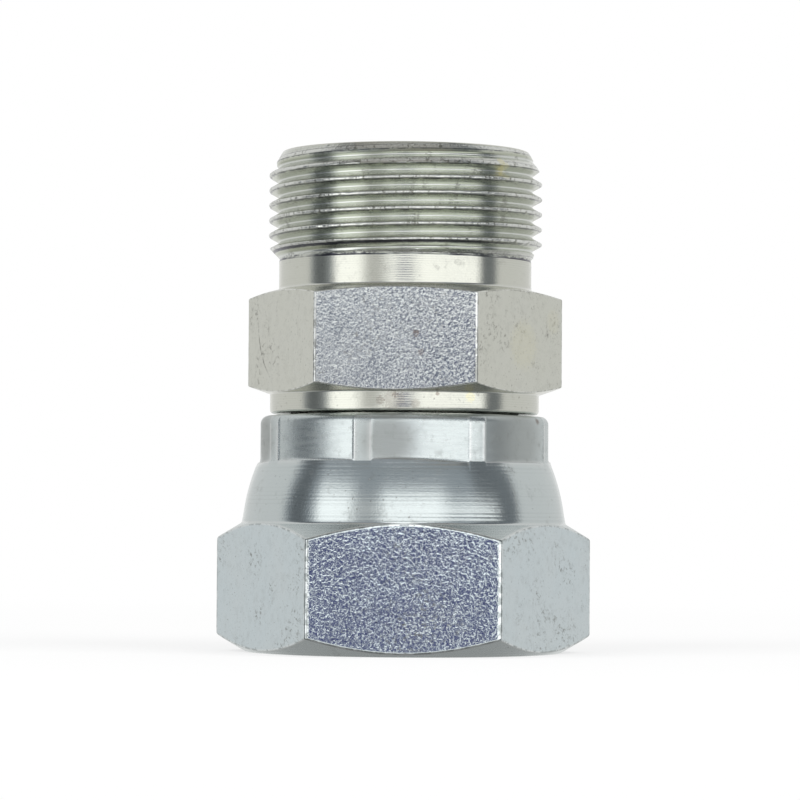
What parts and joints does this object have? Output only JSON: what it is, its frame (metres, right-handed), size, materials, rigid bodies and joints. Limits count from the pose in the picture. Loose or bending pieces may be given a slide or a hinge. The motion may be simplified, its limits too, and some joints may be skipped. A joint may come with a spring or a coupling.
{
  "type": "straight adapter fitting",
  "caption": "Straight hydraulic adapter with a male parallel pipe thread at one end and a crimped swivel nut with a female thread at the other, each with its own hexagon.",
  "frame": {"origin": "centre of the swivel nut's open face, on which the fitting stands", "axes": "+Z along the flow axis, from the swivel nut to the male thread; -Y through the middle of one of the nut's flats"},
  "size_m": [0.0572, 0.0496, 0.0765],
  "materials": {
    "body_zinc": "turned steel with clear zinc plating, satin",
    "nut_zinc": "turned and crimped steel with bluish zinc plating, satin"
  },
  "bodies": {
    "adapter": {"adapter_body": "body_zinc"},
    "nut": {"swivel_nut": "nut_zinc"}
  },
  "joints": [
    {"name": "nut_swivel", "type": "hinge", "parent": "adapter", "child": "nut", "pos_m": [0, 0, 0.018], "axis": [0, 0, 1], "continuous": true}
  ]
}
